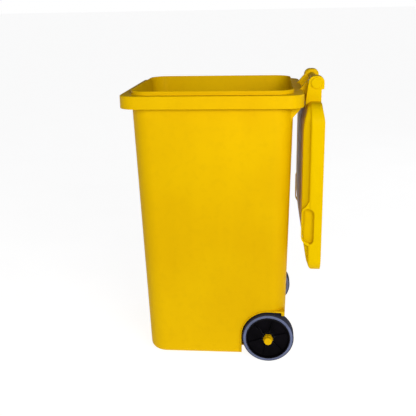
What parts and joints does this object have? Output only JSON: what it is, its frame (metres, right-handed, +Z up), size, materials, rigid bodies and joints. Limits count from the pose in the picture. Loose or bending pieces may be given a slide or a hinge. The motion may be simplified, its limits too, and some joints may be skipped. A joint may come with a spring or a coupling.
{
  "type": "two-wheeled mobile waste container",
  "caption": "Tall tapered waste container on wheels with a rim, a rear handle bar and a hinged lid that hangs open behind it.",
  "frame": {"origin": "on the floor, under the middle of the whole object's box with the lid hanging open", "axes": "+Z up, +X to the container's right, +Y to its rear, where the handle bar, the hanging lid and the wheels are"},
  "size_m": [0.602, 0.71, 1.0525],
  "materials": {
    "container_plastic": "moulded yellow polyethylene, semi-gloss",
    "lid_plastic": "moulded yellow polyethylene, semi-gloss",
    "cap_plastic": "moulded yellow plastic, semi-gloss",
    "tyre_rubber": "grey-blue solid rubber, matt",
    "hub_plastic": "moulded black plastic, satin",
    "bush_nylon": "natural nylon, matt",
    "axle_steel": "zinc-plated steel"
  },
  "bodies": {
    "container": {"container_body": "container_plastic", "hinge_pin_right": "lid_plastic", "hinge_pin_left": "lid_plastic", "axle": "axle_steel", "axle_spacer_right": "bush_nylon", "axle_spacer_left": "bush_nylon", "push_nut_right": "axle_steel", "push_nut_left": "axle_steel"},
    "lid": {"lid_shell": "lid_plastic"},
    "wheel_right": {"tyre_right": "tyre_rubber", "wheel_hub_right": "hub_plastic", "hub_bush_right": "bush_nylon", "hub_cap_right": "cap_plastic"},
    "wheel_left": {"tyre_left": "tyre_rubber", "wheel_hub_left": "hub_plastic", "hub_bush_left": "bush_nylon", "hub_cap_left": "cap_plastic"}
  },
  "joints": [
    {"name": "lid_hinge", "type": "hinge", "parent": "container", "child": "lid", "pos_m": [0, 0.327, 1.028], "axis": [1, 0, 0], "range_deg": [0, 270]},
    {"name": "wheel_right_spin", "type": "hinge", "parent": "container", "child": "wheel_right", "pos_m": [0.2525, 0.167, 0.096], "axis": [1, 0, 0], "continuous": true},
    {"name": "wheel_left_spin", "type": "hinge", "parent": "container", "child": "wheel_left", "pos_m": [-0.2525, 0.167, 0.096], "axis": [1, 0, 0], "continuous": true}
  ]
}
